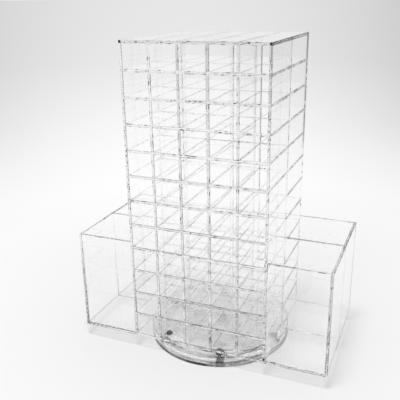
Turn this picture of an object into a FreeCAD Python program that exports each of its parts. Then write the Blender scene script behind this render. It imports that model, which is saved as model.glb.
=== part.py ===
import FreeCAD, Part
import os
from math import cos, sin, radians

from FreeCAD import Vector

# Rotating organizer of clear acrylic sheet: a two-sided tower of small open compartments with
# an open box on each side, on a round turntable that runs on steel balls.
# All sizes are in millimetres. The origin is on the table, under the pivot. +X is the right side,
# +Y the back and +Z up.

# Sheet thicknesses
shell_sheet = 3.0           # tower floor, top, side walls and centre panel
grid_sheet = 3.0            # shelves and dividers
box_sheet = 3.0             # side boxes

# Tower, outside sizes
tower_width = 150.0
tower_depth = 139.0
tower_height = 320.0
columns = 5                 # compartments across, on each side of the centre panel
rows = 12                   # compartments from floor to top

# Side boxes
box_reach = 64.0            # how far a box stands out from the tower's side
box_height = 113.5          # outside, from the tower's underside to the rim

# Fit of the crossed shelves and dividers
slot_play = 0.1             # free space on each side of a sheet in its slot
slot_end_play = 0.4         # free space between the bottoms of two crossed slots

# Turntable discs
disc_diameter = 159.0
disc_thickness = 5.0
disc_gap = 3.5              # between the two discs

# Balls and their cage
ball_diameter = 9.525
ball_count = 6
ball_edge_distance = 12.5   # from a disc's edge in to the middle of the balls
first_ball_angle = -70.0    # degrees from +X, seen from above
groove_play = 0.25          # between a ball and its grooves
cage_thickness = 1.6
cage_width = 17.0           # from the ring's inner edge to its outer edge
cage_play = 0.3             # between a ball and its pocket

# Centre pivot
bolt_diameter = 5.0
bolt_head_diameter = 9.2
bolt_head_height = 1.6
bolt_hole_play = 0.1        # around the bolt where nothing turns on it
head_cover = 0.3            # free height over the bolt's head, under the tower floor
bushing_wall = 1.1
bushing_play = 0.05         # running clearance around the bolt
flange_diameter = 10.4
flange_thickness = 0.8
axial_play = 0.1            # between faces that turn past each other
head_recess_play = 0.4      # around the bushing's flange
spacer_diameter = 14.0
washer_diameter = 10.0
washer_thickness = 0.6
nut_across_flats = 8.0
nut_height = 2.2
nut_recess_diameter = 12.0
nut_recess_cover = 0.2      # how far the nut stays inside its recess

# Foot pads
pad_diameter = 12.0
pad_thickness = 1.0
pad_edge_distance = 9.5     # from the disc's edge in to a pad
pad_count = 4

# Levels, from the table up
base_bottom = pad_thickness
base_top = base_bottom + disc_thickness
turntable_bottom = base_top + disc_gap
turntable_top = turntable_bottom + disc_thickness
tower_bottom = turntable_top
tower_roof = tower_bottom + tower_height
floor_top = tower_bottom + shell_sheet
ceiling = tower_roof - shell_sheet
ball_level = (base_top + turntable_bottom) / 2

# Circles on which the balls and the pads are centred
ball_circle_diameter = disc_diameter - 2 * ball_edge_distance
pad_circle_diameter = disc_diameter - 2 * pad_edge_distance - pad_diameter

# Planes of the tower
half_width = tower_width / 2
half_depth = tower_depth / 2
inner_half_width = half_width - shell_sheet
half_panel = shell_sheet / 2
grid_depth = half_depth - half_panel
slot_width = grid_sheet + 2 * slot_play
slot_depth = (grid_depth + slot_end_play) / 2


# Middle planes of the sheets that split a clear span into equal compartments
def sheet_centres(low, high, compartments):
    clear = (high - low - (compartments - 1) * grid_sheet) / compartments
    pitch = clear + grid_sheet
    return [low + number * pitch - grid_sheet / 2 for number in range(1, compartments)]


divider_planes = sheet_centres(-inner_half_width, inner_half_width, columns)
shelf_levels = sheet_centres(floor_top, ceiling, rows)


# Rectangular block between two opposite corners
def block(low, high):
    size = [top - bottom for bottom, top in zip(low, high)]
    return Part.makeBox(size[0], size[1], size[2], Vector(*low))


# Upright cylinder between two levels
def post(diameter, low, high, x=0.0, y=0.0):
    return Part.makeCylinder(diameter / 2, high - low, Vector(x, y, low))


# Outline of a sheet with open slots along its far edge. u runs along the sheet and v across it,
# from the plain edge at zero to the slotted edge at width.
def comb_outline(start, end, width, slot_centres):
    points = [(start, 0.0), (end, 0.0), (end, width)]
    for centre in reversed(slot_centres):
        right = centre + slot_width / 2
        left = centre - slot_width / 2
        slot_end = width - slot_depth
        points += [(right, width), (right, slot_end), (left, slot_end), (left, width)]
    points.append((start, width))
    return points


# Flat sheet: an outline placed in space and pushed along its thickness
def sheet_from(outline, place, push):
    corners = [place(u, v) for u, v in outline]
    wire = Part.makePolygon(corners + corners[:1])
    return Part.Face(wire).extrude(push)


# Level sheet of one side: its open edge is flush with the walls, and its slots open at the
# centre panel. side is -1 for the front and 1 for the back.
def shelf(side, level):
    outline = comb_outline(-inner_half_width, inner_half_width, grid_depth, divider_planes)
    bottom = level - grid_sheet / 2
    return sheet_from(
        outline,
        lambda u, v: Vector(u, side * (half_depth - v), bottom),
        Vector(0, 0, grid_sheet),
    )


# Upright sheet of one side: its slots open at the compartments' mouths
def divider(side, plane):
    outline = comb_outline(floor_top, ceiling, grid_depth, shelf_levels)
    left = plane - grid_sheet / 2
    return sheet_from(
        outline,
        lambda u, v: Vector(left, side * (half_panel + v), u),
        Vector(grid_sheet, 0, 0),
    )


# Floor, top, walls and centre panel. The floor and the top cover the ends of the walls.
def tower_shell():
    parts = {}
    parts["tower_floor"] = block(
        (-half_width, -half_depth, tower_bottom), (half_width, half_depth, floor_top)
    )
    parts["tower_top"] = block(
        (-half_width, -half_depth, ceiling), (half_width, half_depth, tower_roof)
    )
    parts["left_wall"] = block(
        (-half_width, -half_depth, floor_top), (-inner_half_width, half_depth, ceiling)
    )
    parts["right_wall"] = block(
        (inner_half_width, -half_depth, floor_top), (half_width, half_depth, ceiling)
    )
    parts["centre_panel"] = block(
        (-inner_half_width, -half_panel, floor_top), (inner_half_width, half_panel, ceiling)
    )
    return parts


# Crossed shelves and dividers of both sides
def compartment_grid():
    parts = {}
    for name, side in (("front", -1), ("back", 1)):
        for number, plane in enumerate(divider_planes, 1):
            parts[f"{name}_divider_{number}"] = divider(side, plane)
        for number, level in enumerate(shelf_levels, 1):
            parts[f"{name}_shelf_{number}"] = shelf(side, level)
    return parts


# Open box on one side of the tower, whose wall closes the box. hand is -1 for left, 1 for right.
def side_box(name, hand):
    rim = tower_bottom + box_height
    sheet_top = tower_bottom + box_sheet
    near = half_width
    far = half_width + box_reach
    inside = far - box_sheet

    def slab(x_low, x_high, y_low, y_high, z_low, z_high):
        x_pair = sorted((hand * x_low, hand * x_high))
        return block((x_pair[0], y_low, z_low), (x_pair[1], y_high, z_high))

    front_inside = box_sheet - half_depth
    back_inside = half_depth - box_sheet
    half_box_sheet = box_sheet / 2
    return {
        f"{name}_box_floor": slab(near, far, -half_depth, half_depth, tower_bottom, sheet_top),
        f"{name}_box_side": slab(inside, far, -half_depth, half_depth, sheet_top, rim),
        f"{name}_box_front": slab(near, inside, -half_depth, front_inside, sheet_top, rim),
        f"{name}_box_back": slab(near, inside, back_inside, half_depth, sheet_top, rim),
        f"{name}_box_divider": slab(
            near, inside, -half_box_sheet, half_box_sheet, sheet_top, rim
        ),
    }


# Middle points of equal places around the pivot
def ring_places(circle_diameter, count, first_angle):
    angles = [radians(first_angle + number * 360 / count) for number in range(count)]
    return [(circle_diameter / 2 * cos(a), circle_diameter / 2 * sin(a)) for a in angles]


# Ring-shaped groove whose round section has its middle at the balls' level
def ball_groove():
    return Part.makeTorus(
        ball_circle_diameter / 2, ball_diameter / 2 + groove_play, Vector(0, 0, ball_level)
    )


ball_places = ring_places(ball_circle_diameter, ball_count, first_ball_angle)
bushing_bore = bolt_diameter + 2 * bushing_play
bushing_diameter = bushing_bore + 2 * bushing_wall
head_top = turntable_top - head_cover
head_bottom = head_top - bolt_head_height
flange_top = head_bottom - axial_play
flange_bottom = flange_top - flange_thickness
nut_bottom = base_bottom + nut_recess_cover
nut_top = nut_bottom + nut_height
nut_recess_top = nut_top + washer_thickness


# Lower disc: grooved for the balls, bored for the bolt and recessed below for its nut
def base_disc():
    disc = post(disc_diameter, base_bottom, base_top)
    bore = post(bolt_diameter + 2 * bolt_hole_play, base_bottom, base_top)
    recess = post(nut_recess_diameter, base_bottom, nut_recess_top)
    return disc.cut(ball_groove()).cut(bore).cut(recess)


# Upper disc: grooved for the balls, bored for the bushing and recessed above for the bolt's head
def turntable_disc():
    disc = post(disc_diameter, turntable_bottom, turntable_top)
    bore = post(bushing_diameter, turntable_bottom, turntable_top)
    recess = post(flange_diameter + 2 * head_recess_play, flange_bottom, turntable_top)
    return disc.cut(ball_groove()).cut(bore).cut(recess)


# Flat ring between the discs, with one round pocket for each ball
def ball_cage():
    low = ball_level - cage_thickness / 2
    high = ball_level + cage_thickness / 2
    ring = post(ball_circle_diameter + cage_width, low, high)
    ring = ring.cut(post(ball_circle_diameter - cage_width, low, high))
    for x, y in ball_places:
        ring = ring.cut(post(ball_diameter + 2 * cage_play, low, high, x, y))
    return ring


# Bolt from above: low round head, and a shank down to the underside of the nut
def pivot_bolt():
    head = post(bolt_head_diameter, head_bottom, head_top)
    shank = post(bolt_diameter, nut_bottom, head_bottom)
    return head.fuse(shank).removeSplitter()


# Plain bearing in the upper disc, with a flange under the bolt's head
def pivot_bushing():
    sleeve = post(bushing_diameter, turntable_bottom, flange_top)
    flange = post(flange_diameter, flange_bottom, flange_top)
    return sleeve.fuse(flange).cut(post(bushing_bore, turntable_bottom, flange_top))


# Spacer that keeps the discs apart at the pivot
def pivot_spacer():
    high = turntable_bottom - axial_play
    return post(spacer_diameter, base_top, high).cut(post(bushing_bore, base_top, high))


def pivot_washer():
    ring = post(washer_diameter, nut_top, nut_recess_top)
    return ring.cut(post(bolt_diameter + 2 * bolt_hole_play, nut_top, nut_recess_top))


# Six-sided nut, bored to the bolt's diameter
def pivot_nut():
    corner_radius = nut_across_flats / 2 / cos(radians(30))
    corners = [
        Vector(corner_radius * cos(radians(a)), corner_radius * sin(radians(a)), nut_bottom)
        for a in range(0, 361, 60)
    ]
    body = Part.Face(Part.makePolygon(corners)).extrude(Vector(0, 0, nut_height))
    return body.cut(post(bolt_diameter, nut_bottom, nut_top))


def foot_pads():
    places = ring_places(pad_circle_diameter, pad_count, 45.0)
    return Part.makeCompound([post(pad_diameter, 0.0, pad_thickness, x, y) for x, y in places])


def turntable():
    parts = {
        "foot_pads": foot_pads(),
        "base_disc": base_disc(),
        "turntable_disc": turntable_disc(),
        "ball_cage": ball_cage(),
        "pivot_bolt": pivot_bolt(),
        "pivot_bushing": pivot_bushing(),
        "pivot_spacer": pivot_spacer(),
        "pivot_washer": pivot_washer(),
        "pivot_nut": pivot_nut(),
    }
    for number, (x, y) in enumerate(ball_places, 1):
        parts[f"ball_{number}"] = Part.makeSphere(ball_diameter / 2, Vector(x, y, ball_level))
    return parts


organizer = {}
organizer.update(turntable())
organizer.update(tower_shell())
organizer.update(compartment_grid())
organizer.update(side_box("left", -1))
organizer.update(side_box("right", 1))

os.makedirs("parts", exist_ok=True)
for name, shape in organizer.items():
    shape.exportStep(f"parts/{name}.step")
    print(name, len(shape.Solids), "solid, valid" if shape.isValid() else "solid, NOT valid")
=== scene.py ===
import math
import bpy
import numpy as np
from mathutils import Euler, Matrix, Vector

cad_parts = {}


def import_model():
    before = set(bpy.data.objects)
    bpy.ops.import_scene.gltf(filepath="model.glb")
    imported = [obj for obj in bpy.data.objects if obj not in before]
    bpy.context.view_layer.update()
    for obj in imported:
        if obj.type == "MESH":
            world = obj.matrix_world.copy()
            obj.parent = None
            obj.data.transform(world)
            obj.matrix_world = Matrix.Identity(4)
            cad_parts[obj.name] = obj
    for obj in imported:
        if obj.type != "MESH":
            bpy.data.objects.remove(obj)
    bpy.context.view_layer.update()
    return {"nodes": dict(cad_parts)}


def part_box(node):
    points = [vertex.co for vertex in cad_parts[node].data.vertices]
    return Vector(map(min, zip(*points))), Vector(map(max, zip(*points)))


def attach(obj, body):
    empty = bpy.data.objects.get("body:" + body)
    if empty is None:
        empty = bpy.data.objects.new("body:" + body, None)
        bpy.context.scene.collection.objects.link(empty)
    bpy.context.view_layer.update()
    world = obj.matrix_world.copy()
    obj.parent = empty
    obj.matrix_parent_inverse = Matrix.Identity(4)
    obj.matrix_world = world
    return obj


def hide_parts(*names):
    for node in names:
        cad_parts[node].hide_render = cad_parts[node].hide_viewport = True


# Clear acrylic organizer on its turntable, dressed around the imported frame. Lengths are in metres.
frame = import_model()
mm = 0.001
scene = bpy.context.scene


# Shader maths: one output of a node, on which an expression adds its Math nodes
class Wire:
    def __init__(self, shader, socket):
        self.shader = shader
        self.socket = socket

    def maths(self, operation, first, second=0.0, clamp=False):
        settings = {"operation": operation, "use_clamp": clamp}
        return self.shader.node("Math", settings, {0: first, 1: second})

    def __add__(self, other):
        return self.maths("ADD", self, other)

    def __radd__(self, other):
        return self.maths("ADD", other, self)

    def __sub__(self, other):
        return self.maths("SUBTRACT", self, other)

    def __rsub__(self, other):
        return self.maths("SUBTRACT", other, self)

    def __mul__(self, other):
        return self.maths("MULTIPLY", self, other)

    def __rmul__(self, other):
        return self.maths("MULTIPLY", other, self)

    def __truediv__(self, other):
        return self.maths("DIVIDE", self, other)

    def __rtruediv__(self, other):
        return self.maths("DIVIDE", other, self)

    def __pow__(self, other):
        return self.maths("POWER", self, other)

    def __rpow__(self, other):
        return self.maths("POWER", other, self)

    def clamped(self):
        return self.maths("ADD", self, 0.0, clamp=True)

    def largest(self, other):
        return self.maths("MAXIMUM", self, other)

    def smallest(self, other):
        return self.maths("MINIMUM", self, other)

    def unsigned(self):
        return self.maths("ABSOLUTE", self)

    def above(self, start, slope):      # 0 up to the start, then up to 1 at this slope
        return ((self - start) * slope).clamped()

    def below(self, end, slope):        # 1 at first, then down to 0 at the end
        return ((end - self) * slope).clamped()


# One material's or world's nodes. node() makes any node: its settings first, then its sockets. It
# gives the output that is asked for, or a list of several.
class Shader:
    def __init__(self, owner):
        owner.use_nodes = True
        self.tree = owner.node_tree
        self.tree.nodes.clear()

    def node(self, kind, settings=None, values=None, output=0):
        made = self.tree.nodes.new("ShaderNode" + kind)
        for key, value in (settings or {}).items():
            if key == "stops":
                self.setStops(made.color_ramp, value)
            else:
                setattr(made, key, value)
        for key, value in (values or {}).items():
            if isinstance(value, Wire):
                self.tree.links.new(value.socket, made.inputs[key])
            else:
                made.inputs[key].default_value = value
        if isinstance(output, tuple):
            return [Wire(self, made.outputs[one]) for one in output]
        return Wire(self, made.outputs[output])

    def setStops(self, ramp, stops):
        while len(ramp.elements) < len(stops):
            ramp.elements.new(0.5)
        for element, (place, level) in zip(ramp.elements, stops):
            element.position = place
            element.color = tone(level)

    def place(self):
        return self.node("TexCoord", output="Object")

    def split(self, vector):
        return self.node("SeparateXYZ", None, {0: vector}, output=(0, 1, 2))

    def noise(self, place, scale, detail, more=None):
        values = {"Vector": place, "Scale": scale, "Detail": detail}
        return self.node("TexNoise", None, {**values, **(more or {})})

    def read(self, attribute):          # one that markSheet keeps on the mesh
        return self.node("Attribute", {"attribute_name": attribute}, output="Fac")

    def slant(self):                    # 0 where a ray meets the face straight on, 1 along it
        return self.node("LayerWeight", None, {"Blend": 0.5}, output="Facing")

    def evenColour(self, level):
        return self.node("CombineColor", None, {0: level, 1: level, 2: level})

    def mix(self, share, first, second):
        return self.node("MixShader", None, {0: share, 1: first, 2: second})

    def finish(self, surface, kind="OutputMaterial"):
        self.node(kind, None, {"Surface": surface}, output=())


def newMaterial(name):
    material = bpy.data.materials.new(name)
    return material, Shader(material)


def tone(level):
    return (level, level, level, 1)


# Sheet plastic: clear, with the index of acrylic. Lamps shine through it, so shadow rays and
# rays that leave a matt surface pass straight on, with a little loss that grows at a slant.
clearPlastic = {
    "index": 1.49,
    "tone": 0.9985,
    "facePassing": 0.99,
    "edgePassing": 0.2,
    "slantLoss": 0.3,
    "slantPower": 5,
    "lossTone": 0.05,
}


def clear(shader, colour, roughness=0.0):
    return shader.node("BsdfPrincipled", None, {"Base Color": colour, "IOR": clearPlastic["index"],
                                                "Transmission Weight": 1.0, "Roughness": roughness})


def matt(shader, colour, roughness, gloss=0.2):
    return shader.node("BsdfPrincipled", None, {"Base Color": colour, "Roughness": roughness,
                                                "Specular IOR Level": gloss})


def unbent(shader, level=1.0):
    return shader.node("BsdfTransparent", None, {"Color": tone(level)})


def lampsPass(shader, surface, passing=clearPlastic["facePassing"]):
    shadow, fromMatt = shader.node("LightPath", output=("Is Shadow Ray", "Is Diffuse Ray"))
    stopped = shader.node("BsdfDiffuse", None, {"Color": tone(clearPlastic["lossTone"])})
    loss = shader.slant() ** clearPlastic["slantPower"] * clearPlastic["slantLoss"]
    passed = shader.mix(loss, unbent(shader, passing), stopped)
    return shader.mix(shadow.largest(fromMatt), surface, passed)


# Sheet faces: polished, with sparse specks of dust and the faint film of wiping. A point attribute carries
# painted shade, which darkens the front half of the tower on divider 4 and the right wall, more towards the
# top.
faceDust = {
    "speckScale": 620.0,
    "speckFrom": 0.85,
    "speckSlope": 30.0,
    "speckShare": 0.6,
    "speckTone": 0.15,
    "filmScale": 18.0,
    "filmFrom": 0.55,
    "filmSlope": 3.0,
    "filmShare": 0.012,
    "filmTone": 0.8,
    "frontTopShadeSlope": 400.0,
}


def sheetFaceMaterial():
    material, shader = newMaterial("clearSheetFace")
    place = shader.place()
    inFront = shader.split(place)[1].below(0.0, faceDust["frontTopShadeSlope"])
    plastic = clear(shader, shader.evenColour(clearPlastic["tone"] - shader.read("smoke") * inFront))
    wiping = shader.noise(place, faceDust["filmScale"], 4.0, {"Distortion": 1.5})
    film = wiping.above(faceDust["filmFrom"], faceDust["filmSlope"]) * faceDust["filmShare"]
    surface = shader.mix(film, plastic, matt(shader, tone(faceDust["filmTone"]), 0.5))
    grain = shader.noise(place, faceDust["speckScale"], 0.0)
    specks = grain.above(faceDust["speckFrom"], faceDust["speckSlope"]) * faceDust["speckShare"]
    surface = shader.mix(specks, surface, matt(shader, tone(faceDust["speckTone"]), 0.6))
    shader.finish(lampsPass(shader, surface))
    return material


# Sawn and flamed edges: clear, with a grey line along both borders of the edge, specks between them and
# dashes, which come and go over its length. The grey is the edges' own grain, made denser as painted shade.
# A point attribute, set by sheet and height, says how dense it is, and it is heavier where the edges look
# darker. A strip with attribute "inner" shows only between two slants.
edgeGrain = {
    "fineScale": 650.0,
    "patchScale": 30.0,
    "patch": 0.7,
    "border": 1.2,
    "highBorder": 0.3,                  # painted shade: a border on the low side of a sheet has less, by twice this, so the high side looks darker
    "body": 0.35,
    "bodyContrast": 1.5,
    "speckFrom": 0.64,
    "speckSlope": 8.0,
    "speckPatch": 0.5,
    "specks": 1.3,
    "dashScale": 170.0,
    "dashFrom": 0.6,
    "dashSlope": 14.0,
    "dashPatch": 0.15,
    "gapShadeFrom": 0.7,                  # only the densest grey and painted shade has gaps
    "gapShadeSlope": 5.0,
    "gapTo": 0.45,
    "gapSlope": 12.0,
    "innerFrom": 0.12,
    "innerTo": 0.5,
    "innerSlope": 10.0,
    "clearTone": 0.95,
    "greyTone": 0.03,
    "spotRadius": 2.4 * mm,             # painted shade: black spots at corners of the tower
    "spotSlope": 1500.0,
    "spotInset": 1.5 * mm,
}


# Painted shade: black spots at three top corners of the tower and at the right wall's front foot
def shadeSpots():
    low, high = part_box("tower_top")
    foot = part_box("right_wall")[0]
    inset = edgeGrain["spotInset"]
    left, right, front, back = low[0] + inset, high[0] - inset, low[1] + inset, high[1] - inset
    level = high[2] - inset
    return [(left, front, level), (right, front, level), (right, back, level),
            (right, front, foot[2] + inset)]


def sheetEdgeMaterial():
    material, shader = newMaterial("clearSheetEdge")
    place = shader.place()
    across = shader.read("across")
    ink = shader.read("ink").largest(0.0)
    fine = shader.noise(place, edgeGrain["fineScale"], 3.0)
    patch = (shader.noise(place, edgeGrain["patchScale"], 2.0) - 0.5) * edgeGrain["patch"]
    dash = shader.noise(place, edgeGrain["dashScale"], 1.0)
    toBorder = across * across
    border = toBorder ** 4 * (across * edgeGrain["highBorder"] + (1 - edgeGrain["highBorder"]))
    lines = border * (0.5 + fine + patch) * edgeGrain["border"]
    body = ((fine - 0.5) * edgeGrain["bodyContrast"] + patch + edgeGrain["body"]).clamped()
    specks = (fine + patch * edgeGrain["speckPatch"]).above(edgeGrain["speckFrom"], edgeGrain["speckSlope"])
    gap = ink.above(edgeGrain["gapShadeFrom"], edgeGrain["gapShadeSlope"])
    gap = gap * dash.below(edgeGrain["gapTo"], edgeGrain["gapSlope"])
    slant = shader.slant()
    seen = slant.above(edgeGrain["innerFrom"], edgeGrain["innerSlope"])
    seen = seen * slant.below(edgeGrain["innerTo"], edgeGrain["innerSlope"])
    shown = 1 - shader.read("inner") * (1 - seen)
    amount = ((lines + body + specks * edgeGrain["specks"]) * ink * (1 - gap) * shown).clamped()
    dashes = (dash + patch * edgeGrain["dashPatch"]).above(edgeGrain["dashFrom"], edgeGrain["dashSlope"])
    amount = amount.largest(dashes * toBorder ** 2 * shown)
    for spot in shadeSpots():
        away = shader.node("VectorMath", {"operation": "DISTANCE"}, {0: place, 1: spot}, output="Value")
        amount = amount.largest(away.below(edgeGrain["spotRadius"], edgeGrain["spotSlope"]))
    plastic = clear(shader, tone(edgeGrain["clearTone"]), 0.02)
    surface = shader.mix(amount, plastic, matt(shader, tone(edgeGrain["greyTone"]), 0.4))
    shader.finish(lampsPass(shader, surface, clearPlastic["edgePassing"]))
    return material


# Where two sheets are welded, light passes straight on, but for small air bubbles. Attribute "air" says how
# many, and they don't show on a joint that is seen straight on. The bubbles are real, but their near-black
# tone is painted reflection, for the dark room in front mirrored in their air.
jointBubbles = {
    "scale": 800.0,
    "upright": 0.4,                     # they are longer up and down, by 1 over this
    "patchScale": 55.0,
    "patch": 0.8,
    "from": 0.64,
    "slope": 14.0,
    "slantFrom": 0.12,
    "slantSlope": 6.0,
    "tone": 0.03,
}


def sheetJointMaterial():
    material, shader = newMaterial("clearSheetJoint")
    place = shader.place()
    drawn = shader.node("VectorMath", {"operation": "MULTIPLY"},
                        {0: place, 1: (1, 1, jointBubbles["upright"])})
    fine = shader.noise(drawn, jointBubbles["scale"], 0.0)
    patch = (shader.noise(place, jointBubbles["patchScale"], 1.0) - 0.5) * jointBubbles["patch"]
    bubbles = (fine + patch + shader.read("air")).above(jointBubbles["from"], jointBubbles["slope"])
    bubbles = bubbles * shader.slant().above(jointBubbles["slantFrom"], jointBubbles["slantSlope"])
    surface = shader.mix(bubbles, unbent(shader), matt(shader, tone(jointBubbles["tone"]), 0.4))
    shader.finish(lampsPass(shader, surface))
    return material


# Where the tower floor lies on the turntable disc, light passes straight on too, less some in dark
# blotches: mottled contact marks, deepened as painted shade under the tower. Both faces have this material,
# which is plain plastic out of the other's reach.
discContact = {
    "blotchScale": 70.0,
    "blotchFrom": 0.42,
    "blotchSlope": 2.2,
    "blotchShare": 0.21,
    "blotchTone": 0.12,
    "rimInset": 0.5 * mm,
    "frontInset": 11 * mm,              # along the floor's front and back
    "endSlope": 20000.0,
    "slantTo": 0.6,                     # light at a flatter angle glances off the film of air
    "slantSlope": 10.0,
    "clearTone": 0.99,
    "passing": 0.98,
}


def contactMaterial():
    material, shader = newMaterial("clearContact")
    place = shader.place()
    x, y = shader.split(place)[:2]
    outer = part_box("turntable_disc")[1][0] - discContact["rimInset"]
    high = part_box("tower_floor")[1]
    within = ((x * x + y * y) ** 0.5).below(outer, discContact["endSlope"])
    for along, end in ((x, high[0]), (y, high[1] - discContact["frontInset"])):
        within = within * along.unsigned().below(end, discContact["endSlope"])
    within = within * shader.slant().below(discContact["slantTo"], discContact["slantSlope"])
    noise = shader.noise(place, discContact["blotchScale"], 5.0, {"Roughness": 0.65})
    blotch = noise.above(discContact["blotchFrom"], discContact["blotchSlope"]) * discContact["blotchShare"]
    touching = shader.mix(blotch, unbent(shader, discContact["passing"]),
                          matt(shader, tone(discContact["blotchTone"]), 0.6))
    surface = shader.mix(within, clear(shader, tone(discContact["clearTone"])), touching)
    shader.finish(lampsPass(shader, surface))
    return material


# A mesh from arrays, with one material number for each face
def meshPiece(name, points, faces, materialOf, materials, smooth=False):
    mesh = bpy.data.meshes.new(name)
    mesh.from_pydata(points.tolist(), [], faces)
    for material in materials:
        mesh.materials.append(material)
    mesh.polygons.foreach_set("material_index", np.asarray(materialOf, np.int32))
    if smooth:
        mesh.shade_smooth()
        mesh.set_sharp_from_angle(angle=math.radians(30))
    mesh.validate()
    piece = bpy.data.objects.new(name, mesh)
    scene.collection.objects.link(piece)
    return piece


# Quads between rings of points that follow each other: face (i, j) joins places j and j + 1
# of rings i and i + 1, and the last place joins the first.
def ringQuads(rings, places):
    ring, place = np.meshgrid(np.arange(rings - 1), np.arange(places), indexing="ij")
    follow = (place + 1) % places
    corners = (ring * places + place, ring * places + follow,
               (ring + 1) * places + follow, (ring + 1) * places + place)
    return np.stack(corners, -1).reshape(-1, 4)


# A turned part: a closed profile is carried round the upright axis. At angle a, its corner
# (radius, height) comes to (radius cos a, radius sin a, height).
def turnedPiece(name, profile, steps, materials, materialOfRing):
    profile = np.asarray(profile, float)
    angle = np.arange(steps) * 2 * math.pi / steps
    x = profile[:, None, 0] * np.cos(angle)
    y = profile[:, None, 0] * np.sin(angle)
    z = np.broadcast_to(profile[:, None, 1], x.shape)
    points = np.stack((x, y, z), -1).reshape(-1, 3)
    quads = ringQuads(len(profile) + 1, steps) % len(points)
    return meshPiece(name, points, quads.tolist(), np.repeat(materialOfRing, steps), materials, smooth=True)


# Every sheet stands as its box, its thin side and the slots cut out of it. Sheets that abut are
# welded: there, both faces are of joint material, and light passes as through one solid.
sheetStock = {
    "shrink": 0.03 * mm,                # keeps the faces of abutting sheets apart
    "reach": 0.08 * mm,                 # a face meets a joint if this far out lies another sheet
    "rimRadius": 0.4 * mm,
    "rimCuts": (0.293, 1.0),            # a rounded rim bends here, as shares of its radius
    "probes": 40,                       # places tried along a side, to find whether it is free
    "metShare": 0.4,
    "flat": 0.999,                      # cosine from which a face counts as flat
    "slotPlay": 0.1 * mm,
    "slotEndPlay": 0.4 * mm,
}
# Three numbers say how a mark changes: its level at the head of the tower, at its foot, and the
# power by which it goes from one to the other. In a table, the first part that fits a name counts.
# Edge grey by sheet: the edges' own grain, made heavier as painted shade on the sheets and heights whose
# edges look darker
edgeGreyAndShade = {
    "left_box_floor": (0, 0.45, 1),
    "right_box_floor": (0, 0.06, 1),
    "left_box_front": (-2.45, 0.62, 1),
    "left_box_side": (-2.45, 0.62, 1),
    "left_box_divider": (0, 0.12, 1),
    "left_box": (0, 0.2, 1),
    "right_box_divider": (0.8, 0.4, 1),
    "right_box_side": (-0.25, 0.4, 1),
    "right_box": (-0.94, 0.5, 1),
    "shelf": (0, 0.57, 0.28),
    "divider_1": (0, 0.22, 0.6),
    "divider_2": (0.26, 0.12, 1.5),
    "divider_3": (0.2, 0.08, 1),
    "divider_4": (0.1, 0.22, 0.4),
    "right_wall": (0.36, 0.08, 5),
    "left_wall": (0.09, 0.12, 0.4),
    "tower_top": (0.12, 0.12, 1),
    "centre": (0.15, 0.1, 1),
    "tower_floor": (0.06, 0.06, 1),
}
jointAir = {
    "front_divider_4": (0.5, 0, 1),
    "front_divider": (0.05, 0, 1),
    "front_shelf": (-0.25, 0, 1),
    "back_shelf": (0.1, 0.14, 1),
    "right_wall": (-0.06, -0.04, 1),
}
# Strips of a face that get painted shade too, along the high side of an axis: a dark line along the right
# edge of the tower top and along the back edge of the right wall
shadeStrips = {
    "tower_top": {"axis": 0, "width": 0.4 * mm, "ink": (1.3, 1.3, 1), "inner": 0},
    "right_wall": {"axis": 1, "width": 4.5 * mm, "ink": (6.0, -9.0, 1), "inner": 1},
}
sheetMarks = {
    "foot": 20 * mm,
    "head": 330 * mm,
    "dividerSpan": (-60 * mm, 60 * mm),         # the dividers' edge grey and painted shade grow over these heights
    "leftAir": (-70 * mm, -0.2),                # joints farther left than this have less air
    "calmSpan": (160 * mm, 200 * mm),           # and those on the centre panel below these heights
    "calmFacing": 0.9,
    "calmAir": -0.6,
    # painted shade on the front top of front divider 4 and the right wall
    "smoke": (0.055, 0, 2),
    "shadedSheets": ("front_divider_4", "right_wall"),
}


def readSheet(node):
    low, high = (np.array(corner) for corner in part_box(node))
    return {"name": node, "low": low + sheetStock["shrink"], "high": high - sheetStock["shrink"],
            "thin": int(np.argmin(high - low)), "slots": []}


# Halved joint of a shelf and a divider: the shelf is slotted from the centre panel, and the
# divider from the compartments' mouth
def halveJoint(shelf, divider):
    play, endPlay = sheetStock["slotPlay"], sheetStock["slotEndPlay"] / 2
    mouth = -1 if shelf["low"][1] < 0 else 1
    middle = (shelf["low"][1] + shelf["high"][1]) / 2
    for sheet, other, towards in ((shelf, divider, -mouth), (divider, shelf, mouth)):
        axis = other["thin"]
        low, high = np.full(3, -1.0), np.full(3, 1.0)
        low[axis] = other["low"][axis] - sheetStock["shrink"] - play
        high[axis] = other["high"][axis] + sheetStock["shrink"] + play
        (low if towards > 0 else high)[1] = middle - towards * endPlay
        sheet["slots"].append((low, high))


def inside(points, sheet):
    found = ((points > sheet["low"]) & (points < sheet["high"])).all(-1)
    for low, high in sheet["slots"]:
        found &= ~((points > low) & (points < high)).all(-1)
    return found


def abutting(points, sheet, sheets):
    found = np.zeros(points.shape[:-1], bool)
    for other in sheets:
        if other is not sheet:
            found |= inside(points, other)
    return found


def inStrip(points, sheet):
    strip = shadeStrips.get(sheet["name"])
    if not strip:
        return np.zeros(len(points), bool)
    return points[:, strip["axis"]] > sheet["high"][strip["axis"]] - strip["width"] - 0.001 * mm


# The sides that other sheets leave free over most of their length: axis, place and way out of each
def freeSides(sheet, near, axes):
    low, high, probes = sheet["low"], sheet["high"], sheetStock["probes"]
    sides = []
    for axis, along in (axes, axes[::-1]):
        for end, way in ((low, -1), (high, 1)):
            probe = np.tile((low + high) / 2, (probes, 1))
            probe[:, axis] = end[axis] + way * sheetStock["reach"]
            probe[:, along] = np.linspace(low[along], high[along], probes + 2)[1:-1]
            if abutting(probe, sheet, near).mean() < sheetStock["metShare"]:
                sides.append((axis, end[axis], way))
    return sides


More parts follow.
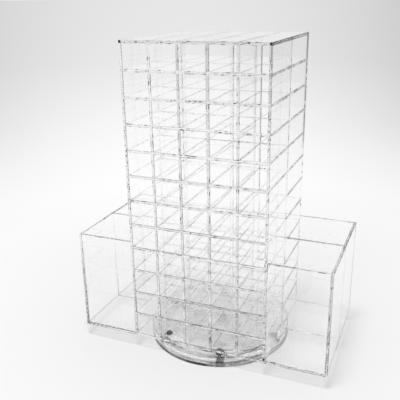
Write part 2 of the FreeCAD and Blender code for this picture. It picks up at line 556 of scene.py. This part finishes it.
# Places along an axis where a face is cut: wherever a slot, a joint, a strip or a rim begins
def cutLines(sheet, near, sides, axis):
    lines = []
    strip = shadeStrips.get(sheet["name"])
    if strip and strip["axis"] == axis:
        lines.append(sheet["high"][axis] - strip["width"])
    for other in [sheet] + near:
        lines += [other["low"][axis], other["high"][axis]]
        lines += [corner[axis] for slot in other["slots"] for corner in slot]
    for sideAxis, place, way in sides:
        if sideAxis == axis:
            lines += [place - way * sheetStock["rimRadius"] * share for share in sheetStock["rimCuts"]]
    lines = np.unique(np.round(lines, 8))
    return lines[(lines >= round(sheet["low"][axis], 8)) & (lines <= round(sheet["high"][axis], 8))]


def planeGrid(axes, first, second):
    grid = np.zeros((len(first), len(second), 3))
    grid[..., axes[0]] = first[:, None]
    grid[..., axes[1]] = second[None, :]
    return grid


# Points of the lower face and then of the upper one, over a grid of two axes. At distance d from a
# free side a face falls by radius - sqrt(radius^2 - (radius - d)^2), which is a quarter round.
def sheetPoints(sheet, sides, axes, first, second):
    thin, radius = sheet["thin"], sheetStock["rimRadius"]
    top = planeGrid(axes, first, second)
    rim = np.full(top.shape[:2], radius)
    for axis, place, way in sides:
        rim = np.minimum(rim, (place - top[..., axis]) * way)
    fall = radius - np.sqrt(np.maximum(radius ** 2 - (radius - rim) ** 2, 0))
    bottom = top.copy()
    bottom[..., thin] = sheet["low"][thin] + fall
    top[..., thin] = sheet["high"][thin] - fall
    return np.concatenate((bottom.reshape(-1, 3), top.reshape(-1, 3)))


# Quads of both faces over every cell that is solid, and of a wall where the cell beside it isn't
def sheetQuads(sheet, axes, first, second):
    thin = sheet["thin"]
    middle = planeGrid(axes, (first[1:] + first[:-1]) / 2, (second[1:] + second[:-1]) / 2)
    middle[..., thin] = (sheet["low"][thin] + sheet["high"][thin]) / 2
    solid = np.pad(inside(middle, sheet), 1)
    cell = solid[1:-1, 1:-1]
    rows, columns = cell.shape
    index = np.arange(len(first) * len(second)).reshape(len(first), len(second))
    near, right, far, left = (index[i:i + rows, j:j + columns] for i, j in ((0, 0), (0, 1), (1, 1), (1, 0)))
    quads = [np.stack((near, right, far, left), -1)[cell],
             np.stack((near, left, far, right), -1)[cell] + index.size]
    for beside, begin, end in ((solid[2:, 1:-1], left, far), (solid[:-2, 1:-1], right, near),
                               (solid[1:-1, 2:], far, right), (solid[1:-1, :-2], near, left)):
        wall = np.stack((begin, end, end + index.size, begin + index.size), -1)
        quads.append(wall[cell & ~beside])
    return np.concatenate(quads)


def rising(value, start, end):
    return np.clip((value - start) / (end - start), 0, 1)


def byHeight(height, levels):
    top, foot, power = levels
    return foot + (top - foot) * rising(height, sheetMarks["foot"], sheetMarks["head"]) ** power


def levelsOf(table, name):
    return next((levels for part, levels in table.items() if part in name), (0, 0, 1))


# What the materials read: "across" is -1 and 1 at the two borders of an edge. The edge grey with its
# painted shade and the painted shade of the tower front go by a point's height, and "air" by a face's.
# "inner" is 1 on a strip of painted shade that shows only at a slant.
def markSheet(piece, sheet, points, across, centre, outward):
    name, height = sheet["name"], points[:, 2]
    ink = byHeight(height, levelsOf(edgeGreyAndShade, name))
    if "divider_" in name:
        ink = ink * rising(height, *sheetMarks["dividerSpan"])
    inner = np.zeros(len(points))
    if name in shadeStrips:
        inShadeStrip = inStrip(points, sheet)
        ink = np.where(inShadeStrip, byHeight(height, shadeStrips[name]["ink"]), ink)
        inner += inShadeStrip * shadeStrips[name]["inner"]
    air = byHeight(centre[:, 2], levelsOf(jointAir, name))
    leftEnd, less = sheetMarks["leftAir"]
    air += (centre[:, 0] < leftEnd) * less
    calm = 1 - rising(centre[:, 2], *sheetMarks["calmSpan"])
    air += (np.abs(outward[:, 1]) > sheetMarks["calmFacing"]) * calm * sheetMarks["calmAir"]
    smoke = byHeight(height, sheetMarks["smoke"]) * (name in sheetMarks["shadedSheets"])
    marks = {"across": across, "ink": ink, "inner": inner, "smoke": smoke, "air": air}
    for mark, values in marks.items():
        attribute = piece.data.attributes.new(mark, "FLOAT", "FACE" if mark == "air" else "POINT")
        attribute.data.foreach_set("value", values.astype(np.float32))


onFace, onEdge, onJoint, onContact = range(4)   # the order of a sheet's materials


def sheetPiece(sheet, sheets, materials):
    low, high, thin, reach = sheet["low"], sheet["high"], sheet["thin"], sheetStock["reach"]
    axes = ((thin + 1) % 3, (thin + 2) % 3)
    near = [other for other in sheets if other is not sheet
            and (other["low"] < high + reach).all() and (other["high"] > low - reach).all()]
    sides = freeSides(sheet, near, axes)
    first, second = (cutLines(sheet, near, sides, axis) for axis in axes)
    points = sheetPoints(sheet, sides, axes, first, second)
    quads = sheetQuads(sheet, axes, first, second)
    centre = points[quads].mean(1)
    cross = np.cross(points[quads[:, 2]] - points[quads[:, 0]], points[quads[:, 3]] - points[quads[:, 1]])
    outward = cross / np.linalg.norm(cross, axis=1)[:, None]
    materialOf = np.where(np.abs(outward[:, thin]) < sheetStock["flat"], onEdge, onFace)
    materialOf[inStrip(centre, sheet)] = onEdge
    materialOf[abutting(centre + outward * reach, sheet, near)] = onJoint
    if sheet["name"] == "tower_floor":
        materialOf[outward[:, 2] < -sheetStock["flat"]] = onContact
    used, quads = np.unique(quads, return_inverse=True)
    across = np.where(used < len(points) // 2, -1.0, 1.0)
    points = points[used]
    quads = quads.reshape(-1, 4).tolist()
    piece = meshPiece(sheet["name"] + "_sheet", points, quads, materialOf, materials)
    markSheet(piece, sheet, points, across, centre, outward)
    return piece


sheetParts = ("shelf_", "divider_", "_box_", "wall", "tower_", "centre_")
sheets = [readSheet(node) for node in sorted(frame["nodes"]) if any(part in node for part in sheetParts)]
for side in ("front", "back"):
    for shelf in sheets:
        for divider in sheets:
            if shelf["name"].startswith(side + "_shelf") and divider["name"].startswith(side + "_div"):
                halveJoint(shelf, divider)
faceMaterial = sheetFaceMaterial()
contact = contactMaterial()
sheetMaterials = [faceMaterial, sheetEdgeMaterial(), sheetJointMaterial(), contact]
for sheet in sheets:
    piece = sheetPiece(sheet, sheets, sheetMaterials)
    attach(piece, "tower")
    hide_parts(sheet["name"])
print("sheets made")


# Discs, each with its round ball groove, its bore and its recess. Their rim carries painted shade in a band
# at the foot and one at the top; the base disc's broad foot band is a painted shadow of the gap under it. A
# band's numbers are how far up from there its middle is, its half width, its strength, and how much more of
# it the right half has.
turntable = {
    "steps": 180,
    "edgeRound": 0.5 * mm,
    "edgeSteps": 4,
    "grooveSteps": 14,
    "groovePlay": 0.25 * mm,
    "baseHoles": (2.6 * mm, 6 * mm, 3 * mm),    # radius of the bore, of the recess, and its depth
    "topHoles": (3.7 * mm, 5.6 * mm, 2.8 * mm),
    "baseBands": ((2.1 * mm, 2.1 * mm, 1.15, -0.6), (0, 0.8 * mm, 0.1, 0.5)),
    "topBands": ((0, 0.8 * mm, 0.25, 0.6), (0, 0.8 * mm, 0.25, 0.1)),
    "bandSlope": 1.6,
    "shadeBandTone": 0.02,
    "clearTone": 0.99,
    "rimDepth": 1.2 * mm,
    "rimSlope": 4000.0,
    "rightFrom": 10 * mm,
    "rightSlope": 50.0,
    "level": 0.8,
    "grainScale": 260.0,
    "grain": 0.8,
    "patchScale": 22.0,
    "patch": 1.2,
    "filledScale": 160.0,
    "filledSlope": 4.0,
    "filled": 1.1,                      # how much of the upper groove passes light unbent
}


# Points at centre + radius (cos a, sin a), with a in degrees from start to end
def arc(centre, radius, start, end, steps):
    angle = np.radians(np.linspace(start, end, steps))
    return [(centre[0] + radius * math.cos(a), centre[1] + radius * math.sin(a)) for a in angle]


# Half section of a disc: rim corners are quarter rounds, and the groove is an arc about the balls'
# middle, which meets the face at acos(distance of the face / radius) to either side of upright
def discProfile(low, high, grooveAtTop, holes):
    bore, recess, depth = holes
    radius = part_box("base_disc")[1][0]
    ballLow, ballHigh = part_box("ball_1")
    ballMiddle = (ballLow + ballHigh) / 2
    circle, level = Vector(ballMiddle[:2]).length, ballMiddle[2]
    groove = (ballHigh[2] - ballLow[2]) / 2 + turntable["groovePlay"]
    r, steps = turntable["edgeRound"], turntable["edgeSteps"]
    rim = arc((radius - r, low + r), r, -90, 0, steps) + arc((radius - r, high - r), r, 0, 90, steps)
    face = high if grooveAtTop else low
    half = math.degrees(math.acos(abs(face - level) / groove))
    if grooveAtTop:
        grooveArc = arc((circle, level), groove, -90 + half, -90 - half, turntable["grooveSteps"])
        return [(bore, high), (bore, low + depth), (recess, low + depth), (recess, low)] + rim + grooveArc
    grooveArc = arc((circle, level), groove, 90 + half, 90 - half, turntable["grooveSteps"])
    return [(bore, low)] + grooveArc + rim + [(recess, high), (recess, high - depth), (bore, high - depth)]


def discPlasticMaterial(name, node, bands):
    material, shader = newMaterial(name)
    place = shader.place()
    x, y, z = shader.split(place)
    low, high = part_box(node)
    atRim = ((x * x + y * y) ** 0.5).above(high[0] - turntable["rimDepth"], turntable["rimSlope"])
    right = x.above(turntable["rightFrom"], turntable["rightSlope"])
    grain = (shader.noise(place, turntable["grainScale"], 3.0) - 0.5) * turntable["grain"]
    patch = (shader.noise(place, turntable["patchScale"], 1.0) - 0.5) * turntable["patch"]
    grain = (grain + patch + turntable["level"]).clamped()
    amount = 0.0
    for start, (up, wide, ink, moreRight) in zip((low[2], high[2]), bands):
        near = (z - (start + up)).unsigned().below(wide, turntable["bandSlope"] / wide)
        amount = near * (ink + right * moreRight) * grain + amount
    plastic = clear(shader, tone(turntable["clearTone"]))
    grey = matt(shader, tone(turntable["shadeBandTone"]), 0.4)
    shader.finish(lampsPass(shader, shader.mix((amount * atRim).smallest(1.0), plastic, grey)))
    return material


# The upper groove, which oil fills here and there, so that the balls show through
def grooveMaterial():
    material, shader = newMaterial("clearGroove")
    film = shader.noise(shader.place(), turntable["filledScale"], 2.0)
    share = ((film - 0.5) * turntable["filledSlope"] + turntable["filled"]).clamped()
    surface = shader.mix(share, clear(shader, tone(turntable["clearTone"])), unbent(shader))
    shader.finish(lampsPass(shader, surface))
    return material


def disc(node, body, profile, materials, materialOfRing):
    piece = turnedPiece(node + "_turned", profile, turntable["steps"], materials, materialOfRing)
    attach(piece, body)
    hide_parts(node)


def baseDisc():
    low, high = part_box("base_disc")
    profile = discProfile(low[2] + sheetStock["shrink"], high[2], True, turntable["baseHoles"])
    materials = [discPlasticMaterial("clearBaseDisc", "base_disc", turntable["baseBands"])]
    disc("base_disc", "base", profile, materials, [0] * len(profile))


def turntableDisc():
    low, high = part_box("turntable_disc")
    profile = discProfile(low[2], high[2] - sheetStock["shrink"], False, turntable["topHoles"])
    materialOfRing = np.zeros(len(profile), int)
    materialOfRing[1:turntable["grooveSteps"]] = 1
    materialOfRing[-4] = 2              # the upper face
    materials = [discPlasticMaterial("clearTurntableDisc", "turntable_disc", turntable["topBands"]),
                 grooveMaterial(), contact]
    disc("turntable_disc", "tower", profile, materials, materialOfRing)


baseDisc()
turntableDisc()
print("discs made")


# Balls, in rows of points from pole to pole
balls = {
    "count": 6,
    "rows": 24,
    "columns": 48,
    "tone": 0.06,
    "roughness": 0.1,
}


def plainMaterial(name, level, roughness, metallic):
    material, shader = newMaterial(name)
    shader.finish(shader.node("BsdfPrincipled", None, {"Base Color": tone(level), "Roughness": roughness,
                                                       "Metallic": metallic}))
    return material


# At angle a from the upper pole, a row's radius is the ball's times sin a, and its height the
# ball's radius times cos a
def ball(number, material):
    low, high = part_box(f"ball_{number}")
    rows, columns = balls["rows"], balls["columns"]
    polar = np.linspace(0, math.pi, rows + 1)[1:-1, None]
    around = np.arange(columns) * 2 * math.pi / columns
    points = np.stack((np.sin(polar) * np.cos(around), np.sin(polar) * np.sin(around),
                       np.broadcast_to(np.cos(polar), (rows - 1, columns))), -1).reshape(-1, 3)
    points = np.concatenate((points, [(0, 0, 1), (0, 0, -1)])) * (high[2] - low[2]) / 2
    points += np.array(low + high) / 2
    top, bottom = len(points) - 2, len(points) - 1
    first, last = np.arange(columns), np.arange(columns) + (rows - 2) * columns
    fans = np.concatenate((np.stack((first, np.roll(first, -1), np.full(columns, top)), -1),
                           np.stack((np.roll(last, -1), last, np.full(columns, bottom)), -1)))
    faces = ringQuads(rows - 1, columns)[:, ::-1].tolist() + fans.tolist()
    piece = meshPiece(f"ball_{number}_steel", points, faces, [0] * len(faces), [material], smooth=True)
    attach(piece, f"rolling_ball_{number}")
    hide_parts(f"ball_{number}")


# Nodes that keep their CAD shape
def dress(nodes, material):
    for node in nodes:
        frame["nodes"][node].data.materials.clear()
        frame["nodes"][node].data.materials.append(material)


# Painted shade: the balls' steel is made nearly black, for the dark gap between the discs that they mirror
darkenedBallSteel = plainMaterial("darkenedBallSteel", balls["tone"], balls["roughness"], 1.0)
for number in range(1, balls["count"] + 1):
    ball(number, darkenedBallSteel)
dress(("pivot_bolt", "pivot_nut", "pivot_washer"), plainMaterial("boltSteel", 0.5, 0.25, 1.0))
dress(("pivot_bushing", "pivot_spacer"), plainMaterial("nylon", 0.8, 0.4, 0.0))
dress(("ball_cage", "foot_pads"), faceMaterial)
print("turntable made")


# Floor, light and camera. The floor is pale paper whose colour carries painted light: a bright pool round
# the object with painted shade close under it, a painted glow fanning out behind, and a fall-off to a plain
# tone far away, where the world has the same tone. Rays that see it as a background meet part of it as
# light of strength 1 or less, and the rest of it keeps the object's shadow.
studio = {
    "floorHalf": 60.0,
    # Painted light level of the paper by radius / (radius + 1), with the radius in metres: painted shade
    # under the object, brightest round it, fading far away
    "stops": [(0.0, 0.9), (0.12, 0.905), (0.2, 0.94), (0.3, 1.0), (0.38, 1.0), (0.454, 0.985),
              (0.543, 0.95), (0.64, 0.89), (0.744, 0.828), (0.857, 0.806), (1.0, 0.794)],
    "glowFoot": (0.2105, -0.5557),      # the backdrop's glow fans out from here
    "glowAlong": (-0.385, 0.923),
    "glowLean": 0.03,
    "glowFall": 1.3,
    "glowFallMost": 0.2,
    "glowFrom": 0.7,
    "farFrom": 0.6,                     # from this radius, the far level takes over at this slope
    "farSlope": 1.2,
    "farLevel": 0.97,
    "behindFrom": 0.642,                # cosine of the turn from glowAlong where the shade begins
    "behindSlope": 3.8,
    "behindShade": 0.18,
    "frontFrom": -0.6,
    "frontSlope": 2.5,
    "frontShade": 0.35,
    "seenShare": 0.35,                  # how much of the near floor is seen as light
    "seenFrom": 0.3,                    # from this radius on it grows to all of it
    "seenSlope": 4.0,
    "skyRise": 5.0,
    "plain": 0.42,                      # what the world gives matt surfaces
    "lamp": 28.5,
    "lampPlace": (0.0, -0.45, 2.1),
    "lampSize": 0.5,
}


def seenRays(shader):
    camera, glossy, passed = shader.node("LightPath", output=("Is Camera Ray", "Is Glossy Ray",
                                                              "Is Transmission Ray"))
    return camera.largest(glossy).largest(passed)


# Level of the far surroundings by direction on the floor: a little darker behind the object, where
# the photograph shows it, and in front
# On the floor these darker sectors are painted shade; in the world they are the room's light.
def farLevel(x, y):
    length = (x * x + y * y) ** 0.5 + 0.0001
    alongX, alongY = studio["glowAlong"]
    behind = ((x * alongX + y * alongY) / length).above(studio["behindFrom"], studio["behindSlope"])
    front = (y / length).below(studio["frontFrom"], studio["frontSlope"])
    return studio["farLevel"] - behind * studio["behindShade"] - front * studio["frontShade"], behind


def floorMaterial():
    material, shader = newMaterial("floorPaper")
    x, y = shader.split(shader.place())[:2]
    radius = (x * x + y * y) ** 0.5
    level = shader.node("ValToRGB", {"stops": studio["stops"]}, {0: radius / (radius + 1.0)})
    footX, footY = studio["glowFoot"]
    alongX, alongY = studio["glowAlong"]
    ahead = ((x - footX) * alongX + (y - footY) * alongY).largest(0.05)
    across = (x - footX) * alongY - (y - footY) * alongX
    lean = across / ahead + studio["glowLean"]
    fall = (lean * lean * studio["glowFall"]).smallest(studio["glowFallMost"])
    fall = fall * ahead.above(studio["glowFrom"], 1.0)
    around, behind = farLevel(x, y)
    far = radius.above(studio["farFrom"], studio["farSlope"]) * (1 - behind)
    colour = shader.evenColour((level - fall) * (1 - far) + around * far)
    glow = shader.node("Emission", None, {"Color": colour, "Strength": 1.0})
    paper = matt(shader, colour, 0.6, 0.0)
    share = radius.above(studio["seenFrom"], studio["seenSlope"]) * (1 - studio["seenShare"])
    shader.finish(shader.mix(seenRays(shader) * (share + studio["seenShare"]), paper, glow))
    return material


def floor():
    half = studio["floorHalf"]
    mesh = bpy.data.meshes.new("floor")
    mesh.from_pydata([(-half, -half, 0), (half, -half, 0), (half, half, 0), (-half, half, 0)], [],
                     [(0, 1, 2, 3)])
    piece = bpy.data.objects.new("floor", mesh)
    scene.collection.objects.link(piece)
    mesh.materials.append(floorMaterial())


def world():
    scene.world = bpy.data.worlds.new("studio")
    shader = Shader(scene.world)
    x, y, z = shader.split(shader.node("TexCoord", output="Generated"))
    rise = (z * studio["skyRise"]).clamped()
    colour = shader.evenColour(farLevel(x, y)[0] * (1 - rise) + rise)
    shown = shader.node("Background", None, {"Color": colour, "Strength": 1.0})
    light = shader.node("Background", None, {"Color": tone(studio["plain"]), "Strength": 1.0})
    shader.finish(shader.mix(seenRays(shader), light, shown), "OutputWorld")


def lamp():
    data = bpy.data.lights.new("softLamp", "AREA")
    data.shape = "DISK"
    data.size = studio["lampSize"]
    data.energy = studio["lamp"]
    made = bpy.data.objects.new("softLamp", data)
    made.location = studio["lampPlace"]
    made.rotation_euler = (-Vector(studio["lampPlace"])).to_track_quat("-Z", "Y").to_euler()
    made.visible_glossy = False
    made.visible_transmission = False
    scene.collection.objects.link(made)


cameraSet = {
    "place": (0.21053, -0.55574, 0.37333),
    "turn": (70.3532, 0.8938, 22.5129),     # degrees about X, Y and Z
    "lens": 51.82,
    "sensor": 36.0,
}


def camera():
    data = bpy.data.cameras.new("camera")
    data.lens = cameraSet["lens"]
    data.sensor_width = cameraSet["sensor"]
    data.sensor_fit = "HORIZONTAL"
    data.clip_start = 0.01
    made = bpy.data.objects.new("camera", data)
    made.location = cameraSet["place"]
    made.rotation_euler = Euler([math.radians(a) for a in cameraSet["turn"]])
    scene.collection.objects.link(made)
    scene.camera = made


floor()
world()
lamp()
camera()
scene.view_settings.view_transform = "Standard"
scene.cycles.max_bounces = 64
scene.cycles.transmission_bounces = 64
scene.cycles.glossy_bounces = 32
scene.cycles.transparent_max_bounces = 200
print("studio made")
